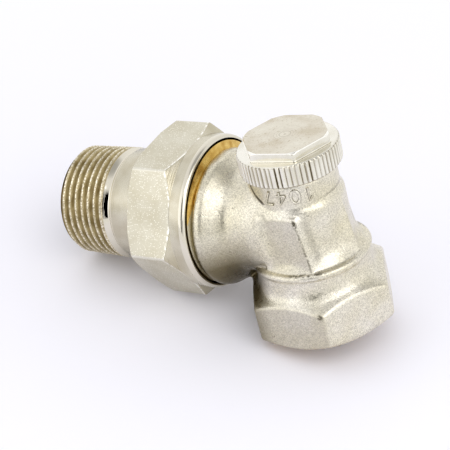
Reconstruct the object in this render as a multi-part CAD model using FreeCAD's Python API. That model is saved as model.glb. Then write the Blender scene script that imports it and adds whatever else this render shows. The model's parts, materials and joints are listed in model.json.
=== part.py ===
import FreeCAD
import Part
import math
import os

# Angle-pattern manual radiator valve, DN 20, with a capped regulating spindle and a union tail.
# Millimetres, origin at the centre of the inlet mouth, +Z up the spindle axis, +X along the
# outlet towards the radiator. Threads are plain cylinders at the radius where they mate.

Vec = FreeCAD.Vector

# Clearances
THREAD_CLEARANCE = 0.08     # radial, between mating threads and sliding bores
FACE_CLEARANCE = 0.1        # axial, between faces that meet when tightened
SEAL_CLEARANCE = 0.04       # round an O-ring in its groove
MACHINING_STOCK = 2.0       # by which the forging's ends are longer before they are faced

# Forged body, upright part
FORGING_TILT_DEG = 1.3      # the forging sits askew of the machined axes
FORGING_TILT_Z = 36.0       # height of the point it is turned about
INLET_HEX_AF = 30.6
INLET_HEX_HEIGHT = 10.6     # to the top of the flats, at their middle
HEX_CORNER_ROUNDING = 1.8
INLET_THREAD_R = 12.06      # G 3/4 internal
INLET_THREAD_DEPTH = 11.0
INLET_MOUTH_CHAMFER = 0.45
HEX_CHAMFER_DEG = 30.0
HEX_END_CHAMFER_R = 15.3    # chamfer circle on the inlet face
BAND_R = 13.4               # round band above the hexagon
BAND_TOP = 16.4
BAND_ROUNDING = 1.5
BARREL_R = 10.4
BARREL_FOOT = 20.4
BARREL_FOOT_FILLET = 2.0
SHOULDER_Z = 31.85          # middle of the sloping shoulder
SHOULDER_RISE = 1.3
SHOULDER_ROUNDING = 1.2
NECK_R = 9.75
NECK_TOP = 41.5
CAP_THREAD_R = 9.65
CAP_THREAD_LENGTH = 3.2
PAD_HALF_WIDTH = 10.95      # flat pads on both sides of the barrel
PAD_BACK_HIGH = 4.3         # towards the side opposite the outlet, at the pad's top
PAD_BACK_LOW = 5.4          # the same at its bottom
PAD_LOW = 17.0
PAD_HIGH = 30.9
PAD_EDGE = 0.5

# Forged body, outlet
OUTLET_HEIGHT = 25.0
OUTLET_START = 3.4
OUTLET_START_ROUNDING = 1.7
OUTLET_NECK_R = 12.35
FLARE_START = 13.4
FLARE_ROUNDING = 5.0
COLLAR_R = 15.45
COLLAR_LENGTH = 1.9
COLLAR_END = 19.5
COLLAR_ROUNDING = 1.2

# Outlet spigot and waterway
UNION_THREAD_R = 15.9       # G 1 at its pitch radius
SPIGOT_LENGTH = 10.0
SPIGOT_CHAMFER = 0.9
SPIGOT_ROOT_R = 15.0
OUTLET_BORE_R = 7.6
UNION_SEAT_MOUTH_R = 13.3
UNION_SEAT_DEPTH = 5.4
UNION_SEAT_ROOT_R = 9.4
CHAMBER_R = 8.0
CHAMBER_FLOOR = 16.6
SEAT_BORE_R = 5.6
SEAT_LIP_R = 6.7
SEAT_HEIGHT = 18.0

# Union nut
NUT_AF = 35.0
NUT_LENGTH = 15.5
NUT_BACK_WALL = 3.4
NUT_LIP_R = 17.8
NUT_LIP_LENGTH = 3.8
NUT_LIP_ROUNDING = 0.5
NUT_MOUTH_R = 16.9
NUT_MOUTH_DEPTH = 2.6
NUT_END_CHAMFER_R = 18.0    # chamfer circle on the back face
NUT_TURN_DEG = 34.7         # how far the hexagon is turned from a corner at the top

# Union tail
TAIL_REACH = 59.7           # from the spindle's axis to the tail's end
TAIL_THREAD_R = 13.22       # R 3/4
TAIL_THREAD_LENGTH = 13.4
TAIL_END_CHAMFER = 0.9
TAIL_SHANK_R = 13.1
TAIL_GROOVE_LENGTH = 2.3
TAIL_GROOVE_DEPTH = 0.3
TAIL_COLLAR_R = 14.9
TAIL_COLLAR_LENGTH = 2.6
TAIL_BORE_R = 9.0
TAIL_NOSE_GAP = 0.3         # between the tail's cone and the seat in the body
TAIL_NOSE_LENGTH = 4.2
TAIL_LUG_WIDTH = 2.6
TAIL_LUG_HEIGHT = 1.5
TAIL_LUG_LENGTH = 9.0
UNION_GAP = 0.4             # between the spigot's end and the tail's collar
TAIL_SEAL_SECTION_R = 0.75
TAIL_SEAL_PLACE = 2.0       # along the nose, ahead of the collar

# Bonnet (headwork screwed into the neck)
BONNET_THREAD_R = 7.65
BONNET_FLANGE_R = 8.3
BONNET_FLANGE_HEIGHT = 1.1
BONNET_BOTTOM = 29.0
BONNET_SEAL_Z = 31.4
BONNET_SEAL_SECTION_R = 0.6
BONNET_SLOT_WIDTH = 2.0
BONNET_SLOT_DEPTH = 0.8
STEM_SEAL_SECTION_R = 0.6
STEM_SEAL_LOW = 2.6         # centre of the lower ring, below the bonnet's top
STEM_SEAL_PITCH = 1.5
SPINDLE_SHOULDER = 4.55     # stop for the spindle's thread, below the bonnet's top

# Spindle and disc, with the valve shut
STEM_R = 4.0
STEM_RECESS = 0.95          # the stem's end lies below the bonnet's top
SPINDLE_THREAD_R = 5.4
SPINDLE_THREAD_LENGTH = 3.4
DISC_LIFT = 3.6
SOCKET_AF = 5.0
SOCKET_DEPTH = 4.5
DISC_R = 7.1
DISC_PLATE = 2.0
DISC_RIM = 1.3
HUB_R = 4.2
HUB_HEIGHT = 5.0
BUTTON_R = 2.6
BUTTON_HEIGHT = 1.8
BUTTON_NECK_R = 1.6
BUTTON_LID = 1.5            # hub wall over the button
WASHER_R = 6.4
WASHER_THICKNESS = 2.2
SCREW_R = 1.4
SCREW_HEAD_R = 2.5
SCREW_HEAD_HEIGHT = 1.1
SCREW_GRIP = 4.4
SCREW_SLOT_WIDTH = 0.7
SCREW_SLOT_DEPTH = 0.6

# Cap and its gasket
CAP_SKIRT_R = 11.55
CAP_ENGAGEMENT = 2.65       # how far the skirt reaches down over the neck
CAP_FLANGE = 1.55
CAP_SKIRT_CHAMFER = 0.35
CAP_HEX_AF = 17.9
CAP_HEX_HEIGHT = 2.2
CAP_HEX_CHAMFER_R = 9.5
CAP_ROOF = 1.4
CAP_RECESS_R = 7.4
CAP_HEX_TURN_DEG = 8.4
KNURL_COUNT = 64
KNURL_DEPTH = 0.42
KNURL_LAND = 0.42           # share of the pitch that stays as a land
GASKET_INNER_R = 7.6
GASKET_THICKNESS = 1.0

# Places worked out from the sizes above
spigot_end = COLLAR_END + SPIGOT_LENGTH
tail_collar_start = spigot_end + UNION_GAP
tail_collar_end = tail_collar_start + TAIL_COLLAR_LENGTH
nut_shoulder = tail_collar_end + FACE_CLEARANCE
nut_back = nut_shoulder + NUT_BACK_WALL
nut_front = nut_back - NUT_LENGTH
tail_end = TAIL_REACH
tail_thread_start = tail_end - TAIL_THREAD_LENGTH
bonnet_top = NECK_TOP - FACE_CLEARANCE / 2
stem_top = bonnet_top - STEM_RECESS
spindle_shoulder = bonnet_top - SPINDLE_SHOULDER
flange_seat = NECK_TOP - BONNET_FLANGE_HEIGHT - FACE_CLEARANCE
gasket_bottom = NECK_TOP + FACE_CLEARANCE
cap_ceiling = gasket_bottom + GASKET_THICKNESS
cap_flange_top = cap_ceiling + CAP_FLANGE
cap_top = cap_flange_top + CAP_HEX_HEIGHT
skirt_bottom = NECK_TOP - CAP_ENGAGEMENT
washer_bottom = SEAT_HEIGHT + FACE_CLEARANCE
washer_top = washer_bottom + WASHER_THICKNESS
plate_top = washer_top + DISC_PLATE
hub_top = plate_top + HUB_HEIGHT
button_top = hub_top - BUTTON_LID - FACE_CLEARANCE
button_bottom = button_top - BUTTON_HEIGHT
spindle_thread_top = spindle_shoulder - DISC_LIFT - FACE_CLEARANCE
spindle_thread_bottom = spindle_thread_top - SPINDLE_THREAD_LENGTH
seat_slope = (UNION_SEAT_MOUTH_R - UNION_SEAT_ROOT_R) / UNION_SEAT_DEPTH


def rounded_wire(corners, place):
    """Closed wire through corners (u, v, radius), each rounded by a tangent arc of its radius.

    Two arcs that would meet on one side are both made smaller, so that they share it.
    """
    count = len(corners)
    points = [Vec(u, v, 0) for u, v, radius in corners]
    sides = [(points[(i + 1) % count] - points[i]).Length for i in range(count)]
    halves = []
    reaches = []
    for i, (u, v, radius) in enumerate(corners):
        half = (points[i - 1] - points[i]).getAngle(points[(i + 1) % count] - points[i]) / 2
        halves.append(half)
        reaches.append(radius / math.tan(half))
    room = [side / max(side, reaches[i] + reaches[(i + 1) % count]) for i, side in enumerate(sides)]
    stops = []
    for i, here in enumerate(points):
        reach = reaches[i] * min(room[i - 1], room[i])
        if reach <= 0:
            stops.append((here, None, here))
            continue
        before = (points[i - 1] - here).normalize()
        after = (points[(i + 1) % count] - here).normalize()
        middle = (before + after).normalize()
        crown = here + middle * reach * (1 / math.cos(halves[i]) - math.tan(halves[i]))
        stops.append((here + before * reach, crown, here + after * reach))
    edges = []
    for i, (start, crown, end) in enumerate(stops):
        if crown is not None:
            edges.append(Part.Arc(place(start), place(crown), place(end)).toShape())
        following = stops[(i + 1) % count][0]
        if (following - end).Length > 1e-6:
            edges.append(Part.LineSegment(place(end), place(following)).toShape())
    return Part.Wire(edges)


def turned_z(corners):
    """Solid turned about the upright axis from corners (r, z, radius)."""
    wire = rounded_wire(corners, lambda p: Vec(p.x, 0, p.y))
    return Part.Face(wire).revolve(Vec(0, 0, 0), Vec(0, 0, 1), 360)


def turned_x(corners, height=OUTLET_HEIGHT):
    """Solid turned about the outlet axis from corners (x, r, radius)."""
    wire = rounded_wire(corners, lambda p: Vec(p.x, 0, height + p.y))
    return Part.Face(wire).revolve(Vec(0, 0, height), Vec(1, 0, 0), 360)


def plain(*corners):
    """The same corners with no rounding."""
    return [(u, v, 0) for u, v in corners]


def rod_z(radius, low, high):
    return Part.makeCylinder(radius, high - low, Vec(0, 0, low))


def rod_x(radius, start, end):
    return Part.makeCylinder(radius, end - start, Vec(start, 0, OUTLET_HEIGHT), Vec(1, 0, 0))


def hexagon_z(across_flats, low, high, turn_deg=0.0):
    """Hexagonal prism on the upright axis, a corner at turn_deg from +X."""
    radius = across_flats / math.sqrt(3)
    angles = [math.radians(turn_deg + 60 * k) for k in range(7)]
    corners = [Vec(radius * math.cos(a), radius * math.sin(a), low) for a in angles]
    return Part.Face(Part.makePolygon(corners)).extrude(Vec(0, 0, high - low))


def o_ring_z(ring_r, section_r, height):
    return Part.makeTorus(ring_r, section_r, Vec(0, 0, height))


# Valve body: one forging with its machined bores and threads

def forged_upright():
    """Band, barrel, shoulder and neck, turned about the spindle axis."""
    return turned_z([
        (0, INLET_HEX_HEIGHT / 2, 0),
        (BAND_R, INLET_HEX_HEIGHT / 2, 0),
        (BAND_R, BAND_TOP, BAND_ROUNDING),
        (BARREL_R, BARREL_FOOT, BARREL_FOOT_FILLET),
        (BARREL_R, SHOULDER_Z - SHOULDER_RISE / 2, SHOULDER_ROUNDING),
        (NECK_R, SHOULDER_Z + SHOULDER_RISE / 2, SHOULDER_ROUNDING),
        (NECK_R, NECK_TOP, 0),
        (0, NECK_TOP, 0),
    ])


def forged_hexagon():
    """Inlet hexagon, reaching past the inlet face, its corners cut by a cone at the top."""
    slope = math.tan(math.radians(HEX_CHAMFER_DEG))
    corner_r = INLET_HEX_AF / math.sqrt(3) + 1
    flat_r = INLET_HEX_AF / 2
    cone_foot = INLET_HEX_HEIGHT - (corner_r - flat_r) * slope
    cone_head = INLET_HEX_HEIGHT + (flat_r - BAND_R + 1) * slope
    envelope = turned_z(plain(
        (0, -MACHINING_STOCK), (corner_r, -MACHINING_STOCK),
        (corner_r, cone_foot), (BAND_R - 1, cone_head), (0, cone_head),
    ))
    prism = hexagon_z(INLET_HEX_AF, -MACHINING_STOCK, cone_head)
    uprights = [e for e in prism.Edges if e.BoundBox.ZLength > MACHINING_STOCK]
    return prism.makeFillet(HEX_CORNER_ROUNDING, uprights).common(envelope)


def forged_outlet():
    """Round outlet neck that flares to a collar behind the union thread."""
    return turned_x([
        (OUTLET_START, 0, 0),
        (OUTLET_START, OUTLET_NECK_R, OUTLET_START_ROUNDING),
        (FLARE_START, OUTLET_NECK_R, FLARE_ROUNDING),
        (COLLAR_END - COLLAR_LENGTH, COLLAR_R, COLLAR_ROUNDING),
        (COLLAR_END + MACHINING_STOCK, COLLAR_R, 0),
        (COLLAR_END + MACHINING_STOCK, 0, 0),
    ])


def forged_pads():
    """Flat pad on each side of the barrel."""
    front = OUTLET_START + OUTLET_START_ROUNDING
    corners = [(-PAD_BACK_LOW, PAD_LOW), (front, PAD_LOW), (front, PAD_HIGH), (-PAD_BACK_HIGH, PAD_HIGH)]
    outline = Part.makePolygon([Vec(x, -PAD_HALF_WIDTH, z) for x, z in corners + corners[:1]])
    block = Part.Face(outline).extrude(Vec(0, 2 * PAD_HALF_WIDTH, 0))
    rim = [e for e in block.Edges if abs(abs(e.CenterOfMass.y) - PAD_HALF_WIDTH) < 1e-6]
    return block.makeFillet(PAD_EDGE, rim)


def spigot():
    """Machined outlet end that carries the union thread."""
    return turned_x(plain(
        (COLLAR_END - 1, 0), (COLLAR_END - 1, SPIGOT_ROOT_R), (COLLAR_END, SPIGOT_ROOT_R),
        (COLLAR_END + UNION_THREAD_R - SPIGOT_ROOT_R, UNION_THREAD_R),
        (spigot_end - SPIGOT_CHAMFER, UNION_THREAD_R),
        (spigot_end, UNION_THREAD_R - SPIGOT_CHAMFER), (spigot_end, 0),
    ))


def waterway():
    """Everything bored out of the body."""
    neck_bore_r = BONNET_THREAD_R + THREAD_CLEARANCE
    upright = turned_z(plain(
        (0, -1), (INLET_THREAD_R + INLET_MOUTH_CHAMFER + 1, -1),
        (INLET_THREAD_R + INLET_MOUTH_CHAMFER, 0), (INLET_THREAD_R, INLET_MOUTH_CHAMFER),
        (INLET_THREAD_R, INLET_THREAD_DEPTH), (SEAT_BORE_R, INLET_THREAD_DEPTH),
        (SEAT_BORE_R, SEAT_HEIGHT), (SEAT_LIP_R, SEAT_HEIGHT), (SEAT_LIP_R, CHAMBER_FLOOR),
        (CHAMBER_R, CHAMBER_FLOOR), (CHAMBER_R, BONNET_BOTTOM), (neck_bore_r, BONNET_BOTTOM),
        (neck_bore_r, flange_seat), (BONNET_FLANGE_R + THREAD_CLEARANCE, flange_seat),
        (BONNET_FLANGE_R + THREAD_CLEARANCE, NECK_TOP + 1), (0, NECK_TOP + 1),
    ))
    outlet = turned_x(plain(
        (0, 0), (0, OUTLET_BORE_R), (spigot_end - UNION_SEAT_DEPTH, OUTLET_BORE_R),
        (spigot_end - UNION_SEAT_DEPTH, UNION_SEAT_ROOT_R), (spigot_end, UNION_SEAT_MOUTH_R),
        (spigot_end + 1, UNION_SEAT_MOUTH_R), (spigot_end + 1, 0),
    ))
    return upright.fuse(outlet)


def faced(forging):
    """The forging after it is clamped askew and its three ends are faced."""
    reach = 2 * INLET_HEX_AF
    forging.rotate(Vec(0, 0, FORGING_TILT_Z), Vec(0, 1, 0), FORGING_TILT_DEG)
    room = Part.makeBox(
        reach + COLLAR_END, 2 * reach, NECK_TOP - CAP_THREAD_LENGTH, Vec(-reach, -reach, 0))
    slope = math.tan(math.radians(HEX_CHAMFER_DEG))
    width = INLET_HEX_AF / 4
    end_chamfer = turned_z(plain(
        (HEX_END_CHAMFER_R, 0), (HEX_END_CHAMFER_R + width, width * slope),
        (HEX_END_CHAMFER_R + width, -MACHINING_STOCK), (HEX_END_CHAMFER_R, -MACHINING_STOCK)))
    return forging.common(room).cut(end_chamfer)


def valve_body():
    forging = forged_upright().multiFuse([forged_outlet(), forged_pads()]).removeSplitter()
    forging = faced(forging.fuse(forged_hexagon()).removeSplitter())
    neck_end = rod_z(CAP_THREAD_R, SHOULDER_Z, NECK_TOP)
    return forging.multiFuse([neck_end, spigot()]).cut(waterway()).removeSplitter()


# Union nut and tail

def union_nut():
    slope = math.tan(math.radians(HEX_CHAMFER_DEG))
    corner_r = NUT_AF / math.sqrt(3) + 1
    lip_back = nut_front + NUT_LIP_LENGTH
    prism = hexagon_z(NUT_AF, 0, NUT_LENGTH, 0)
    prism.rotate(Vec(0, 0, 0), Vec(0, 1, 0), 90)
    prism.rotate(Vec(0, 0, 0), Vec(1, 0, 0), 180 - NUT_TURN_DEG)
    prism.translate(Vec(nut_front, 0, OUTLET_HEIGHT))
    envelope = turned_x(plain(
        (lip_back - 1, 0), (lip_back - 1, NUT_LIP_R - 1), (lip_back, NUT_LIP_R),
        (lip_back + (corner_r - NUT_LIP_R) * slope, corner_r),
        (nut_back - (corner_r - NUT_END_CHAMFER_R) * slope, corner_r),
        (nut_back, NUT_END_CHAMFER_R), (nut_back, 0),
    ))
    lip = turned_x([
        (nut_front, 0, 0), (nut_front, NUT_LIP_R, NUT_LIP_ROUNDING), (lip_back, NUT_LIP_R, 0),
        (lip_back + NUT_LIP_R - NUT_AF / 2 + NUT_LIP_ROUNDING, NUT_AF / 2 - NUT_LIP_ROUNDING, 0),
        (lip_back + NUT_LIP_R - NUT_AF / 2 + NUT_LIP_ROUNDING, 0, 0),
    ])
    bore_r = UNION_THREAD_R + THREAD_CLEARANCE
    back_bore_r = TAIL_THREAD_R + 2 * THREAD_CLEARANCE
    hollow = turned_x(plain(
        (nut_front - 1, 0), (nut_front - 1, NUT_MOUTH_R), (nut_front + NUT_MOUTH_DEPTH, NUT_MOUTH_R),
        (nut_front + NUT_MOUTH_DEPTH + NUT_MOUTH_R - bore_r, bore_r), (nut_shoulder, bore_r),
        (nut_shoulder, back_bore_r), (nut_back + 1, back_bore_r), (nut_back + 1, 0),
    ))
    return prism.common(envelope).fuse(lip).cut(hollow).removeSplitter()


def tail_cone_r(x):
    """Radius of the tail's nose, a cone inside the seat in the spigot."""
    return UNION_SEAT_MOUTH_R - (spigot_end - x) * seat_slope - TAIL_NOSE_GAP


def tail_seal_place():
    """Centre (x, r) of the O-ring that lies in the nose, just clear of the seat."""
    x = tail_collar_start - TAIL_SEAL_PLACE
    tilt = math.cos(math.atan(seat_slope))
    return x, tail_cone_r(x) + TAIL_NOSE_GAP - (TAIL_SEAL_SECTION_R + SEAL_CLEARANCE) / tilt


def union_tail():
    nose_start = spigot_end - TAIL_NOSE_LENGTH
    nose_end = tail_collar_start - FACE_CLEARANCE
    groove_start = tail_thread_start - TAIL_GROOVE_LENGTH
    body = turned_x(plain(
        (nose_start, 0), (nose_start, tail_cone_r(nose_start)), (nose_end, tail_cone_r(nose_end)),
        (tail_collar_start, tail_cone_r(nose_end)), (tail_collar_start, TAIL_COLLAR_R),
        (tail_collar_end, TAIL_COLLAR_R), (tail_collar_end, TAIL_SHANK_R),
        (tail_thread_start, TAIL_SHANK_R), (tail_thread_start, TAIL_THREAD_R),
        (tail_end - TAIL_END_CHAMFER, TAIL_THREAD_R), (tail_end, TAIL_THREAD_R - TAIL_END_CHAMFER),
        (tail_end, 0),
    ))
    relief_r = (TAIL_GROOVE_LENGTH ** 2 / 4 + TAIL_GROOVE_DEPTH ** 2) / (2 * TAIL_GROOVE_DEPTH)
    relief = Part.makeTorus(
        TAIL_SHANK_R - TAIL_GROOVE_DEPTH + relief_r, relief_r,
        Vec(groove_start + TAIL_GROOVE_LENGTH / 2, 0, OUTLET_HEIGHT), Vec(1, 0, 0))
    seal_x, seal_r = tail_seal_place()
    seal_groove = Part.makeTorus(
        seal_r, TAIL_SEAL_SECTION_R + SEAL_CLEARANCE, Vec(seal_x, 0, OUTLET_HEIGHT), Vec(1, 0, 0))
    body = body.cut(rod_x(TAIL_BORE_R, nose_start - 1, tail_end + 1)).cut(relief).cut(seal_groove)
    return body.fuse(tail_lugs()).removeSplitter()


def tail_lugs():
    """Two ribs in the tail's bore that a radiator key turns it by."""
    end = tail_end - TAIL_END_CHAMFER
    start = end - TAIL_LUG_LENGTH
    ring = rod_x(TAIL_BORE_R + 1, start, end).cut(rod_x(TAIL_BORE_R - TAIL_LUG_HEIGHT, start, end))
    blade = Part.makeBox(
        TAIL_LUG_LENGTH, TAIL_LUG_WIDTH, 2 * TAIL_BORE_R + 2,
        Vec(start, -TAIL_LUG_WIDTH / 2, OUTLET_HEIGHT - TAIL_BORE_R - 1))
    return ring.common(blade)


def tail_o_ring():
    seal_x, seal_r = tail_seal_place()
    return Part.makeTorus(seal_r, TAIL_SEAL_SECTION_R, Vec(seal_x, 0, OUTLET_HEIGHT), Vec(1, 0, 0))


# Headwork

def bonnet_seal_r():
    """Ring radius that puts the bonnet's O-ring against the neck bore."""
    return BONNET_THREAD_R + THREAD_CLEARANCE - BONNET_SEAL_SECTION_R - SEAL_CLEARANCE


def stem_seal_places():
    """Heights of the two stem O-rings and their ring radius."""
    low = bonnet_top - STEM_SEAL_LOW
    return (low, low + STEM_SEAL_PITCH), STEM_R + STEM_SEAL_SECTION_R + SEAL_CLEARANCE


def square_groove(ring_r, section_r, height):
    """Rectangular groove that an O-ring lies in."""
    half = section_r + SEAL_CLEARANCE
    return rod_z(ring_r + half, height - half, height + half).cut(
        rod_z(ring_r - half, height - half, height + half))


def bonnet():
    flange_bottom = bonnet_top - BONNET_FLANGE_HEIGHT
    body = turned_z(plain(
        (0, BONNET_BOTTOM), (BONNET_THREAD_R, BONNET_BOTTOM), (BONNET_THREAD_R, flange_bottom),
        (BONNET_FLANGE_R, flange_bottom), (BONNET_FLANGE_R, bonnet_top), (0, bonnet_top),
    ))
    thread_bore = rod_z(SPINDLE_THREAD_R + THREAD_CLEARANCE, BONNET_BOTTOM - 1, spindle_shoulder)
    stem_bore = rod_z(STEM_R + THREAD_CLEARANCE / 2, BONNET_BOTTOM, NECK_TOP + 1)
    body = body.cut(thread_bore).cut(stem_bore)
    body = body.cut(square_groove(bonnet_seal_r(), BONNET_SEAL_SECTION_R, BONNET_SEAL_Z))
    heights, ring_r = stem_seal_places()
    for height in heights:
        body = body.cut(square_groove(ring_r, STEM_SEAL_SECTION_R, height))
    slot = Part.makeBox(
        2 * BONNET_FLANGE_R + 2, BONNET_SLOT_WIDTH, BONNET_SLOT_DEPTH + 1,
        Vec(-BONNET_FLANGE_R - 1, -BONNET_SLOT_WIDTH / 2, bonnet_top - BONNET_SLOT_DEPTH))
    return body.cut(slot)


def spindle():
    body = turned_z(plain(
        (0, button_bottom), (BUTTON_R, button_bottom), (BUTTON_R, button_top),
        (BUTTON_NECK_R, button_top), (BUTTON_NECK_R, hub_top + FACE_CLEARANCE),
        (STEM_R, hub_top + FACE_CLEARANCE), (STEM_R, spindle_thread_bottom),
        (SPINDLE_THREAD_R, spindle_thread_bottom), (SPINDLE_THREAD_R, spindle_thread_top),
        (STEM_R, spindle_thread_top), (STEM_R, stem_top), (0, stem_top),
    ))
    return body.cut(hexagon_z(SOCKET_AF, stem_top - SOCKET_DEPTH, stem_top + 1))


def disc_holder():
    """Cup for the seat washer, with a hub that swivels on the spindle's button."""
    cup_r = WASHER_R + THREAD_CLEARANCE
    rim_bottom = washer_top - DISC_RIM
    body = turned_z(plain(
        (0, washer_top), (cup_r, washer_top), (cup_r, rim_bottom), (DISC_R, rim_bottom),
        (DISC_R, plate_top), (HUB_R, plate_top), (HUB_R, hub_top), (0, hub_top),
    ))
    pocket = rod_z(BUTTON_R + THREAD_CLEARANCE, button_bottom - FACE_CLEARANCE, button_top + FACE_CLEARANCE)
    throat = rod_z(BUTTON_NECK_R + THREAD_CLEARANCE, button_bottom, hub_top + 1)
    screw_end = washer_bottom + SCREW_GRIP
    screw_hole = rod_z(SCREW_R + THREAD_CLEARANCE / 2, washer_bottom, screw_end + FACE_CLEARANCE)
    return body.cut(pocket).cut(throat).cut(screw_hole)


def seat_washer():
    return rod_z(WASHER_R, washer_bottom, washer_top).cut(
        rod_z(SCREW_R + THREAD_CLEARANCE, washer_bottom - 1, washer_top + 1))


def washer_screw():
    head_bottom = washer_bottom - SCREW_HEAD_HEIGHT
    body = rod_z(SCREW_HEAD_R, head_bottom, washer_bottom).fuse(
        rod_z(SCREW_R, washer_bottom, washer_bottom + SCREW_GRIP))
    slot = Part.makeBox(
        2 * SCREW_HEAD_R + 2, SCREW_SLOT_WIDTH, SCREW_SLOT_DEPTH + 1,
        Vec(-SCREW_HEAD_R - 1, -SCREW_SLOT_WIDTH / 2, head_bottom - 1))
    return body.removeSplitter().cut(slot)


# Cap

def knurled_blank(low, high):
    """Prism whose outline is a ring of straight V flutes with narrow lands."""
    pitch = 2 * math.pi / KNURL_COUNT
    valley = (1 + KNURL_LAND) / 2
    flute = ((0, CAP_SKIRT_R), (KNURL_LAND, CAP_SKIRT_R), (valley, CAP_SKIRT_R - KNURL_DEPTH))
    corners = []
    for k in range(KNURL_COUNT):
        for share, radius in flute:
            angle = (k + share) * pitch
            corners.append(Vec(radius * math.cos(angle), radius * math.sin(angle), low))
    return Part.Face(Part.makePolygon(corners + corners[:1])).extrude(Vec(0, 0, high - low))


def cap():
    """Closed cap: knurled skirt with an internal thread, and a low hexagon on top."""
    edge = CAP_SKIRT_CHAMFER
    land_r = CAP_SKIRT_R + edge / 10
    envelope = turned_z(plain(
        (0, skirt_bottom), (CAP_SKIRT_R - edge, skirt_bottom), (land_r, skirt_bottom + edge),
        (land_r, cap_flange_top - edge), (CAP_SKIRT_R - edge, cap_flange_top), (0, cap_flange_top),
    ))
    skirt = knurled_blank(skirt_bottom, cap_flange_top).common(envelope)
    slope = math.tan(math.radians(HEX_CHAMFER_DEG))
    corner_r = CAP_HEX_AF / math.sqrt(3) + 1
    root = cap_flange_top - CAP_FLANGE / 2
    cone = turned_z(plain(
        (0, root), (corner_r, root), (corner_r, cap_top - (corner_r - CAP_HEX_CHAMFER_R) * slope),
        (CAP_HEX_CHAMFER_R, cap_top), (0, cap_top),
    ))
    hexagon = hexagon_z(CAP_HEX_AF, root, cap_top, CAP_HEX_TURN_DEG).common(cone)
    hollow = turned_z(plain(
        (0, skirt_bottom - 1), (CAP_THREAD_R + THREAD_CLEARANCE, skirt_bottom - 1),
        (CAP_THREAD_R + THREAD_CLEARANCE, cap_ceiling), (CAP_RECESS_R, cap_ceiling),
        (CAP_RECESS_R, cap_top - CAP_ROOF), (0, cap_top - CAP_ROOF),
    ))
    return skirt.fuse(hexagon).cut(hollow).removeSplitter()


def cap_gasket():
    return rod_z(CAP_THREAD_R, gasket_bottom, cap_ceiling).cut(
        rod_z(GASKET_INNER_R, gasket_bottom - 1, cap_ceiling + 1))


def build():
    heights, ring_r = stem_seal_places()
    return {
        "valve_body": valve_body(),
        "union_nut": union_nut(),
        "union_tail": union_tail(),
        "tail_o_ring": tail_o_ring(),
        "bonnet": bonnet(),
        "bonnet_o_ring": o_ring_z(bonnet_seal_r(), BONNET_SEAL_SECTION_R, BONNET_SEAL_Z),
        "stem_o_ring_lower": o_ring_z(ring_r, STEM_SEAL_SECTION_R, heights[0]),
        "stem_o_ring_upper": o_ring_z(ring_r, STEM_SEAL_SECTION_R, heights[1]),
        "spindle": spindle(),
        "disc_holder": disc_holder(),
        "seat_washer": seat_washer(),
        "washer_screw": washer_screw(),
        "cap": cap(),
        "cap_gasket": cap_gasket(),
    }


os.makedirs("parts", exist_ok=True)
for name, shape in build().items():
    print(name, "solids", len(shape.Solids), "valid", shape.isValid(), "mm3", round(shape.Volume, 1))
    shape.exportStep(os.path.join("parts", name + ".step"))
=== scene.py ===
import functools
import json
import math
import bmesh
import bpy
from mathutils import Matrix, Vector


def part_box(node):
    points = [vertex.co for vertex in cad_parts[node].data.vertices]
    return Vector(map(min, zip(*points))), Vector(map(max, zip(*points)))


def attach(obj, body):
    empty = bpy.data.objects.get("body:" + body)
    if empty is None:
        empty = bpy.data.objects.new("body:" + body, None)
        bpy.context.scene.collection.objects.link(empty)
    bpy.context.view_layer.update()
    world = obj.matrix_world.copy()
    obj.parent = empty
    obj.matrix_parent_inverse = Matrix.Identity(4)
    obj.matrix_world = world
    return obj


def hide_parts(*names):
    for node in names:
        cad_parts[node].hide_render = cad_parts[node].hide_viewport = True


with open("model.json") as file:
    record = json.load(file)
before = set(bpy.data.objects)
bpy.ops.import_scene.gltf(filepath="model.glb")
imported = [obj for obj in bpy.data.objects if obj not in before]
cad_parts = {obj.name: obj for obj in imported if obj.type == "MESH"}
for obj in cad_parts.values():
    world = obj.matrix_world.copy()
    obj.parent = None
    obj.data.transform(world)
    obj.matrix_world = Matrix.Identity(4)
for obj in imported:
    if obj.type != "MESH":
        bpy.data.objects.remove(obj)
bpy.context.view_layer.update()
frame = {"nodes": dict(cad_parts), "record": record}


# The valve body is one hot brass forging: a hexagonal inlet, a barrel with a flat pad on each
# side, a neck and a flared outlet. It is grit blasted and nickel plated, and then bored, faced
# and threaded, which leaves the cut faces in bare brass.

MM = 0.001


def in_mm(corners):
    """The corners of a box in millimetres."""
    return [[side / MM for side in corner] for corner in corners]


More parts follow.
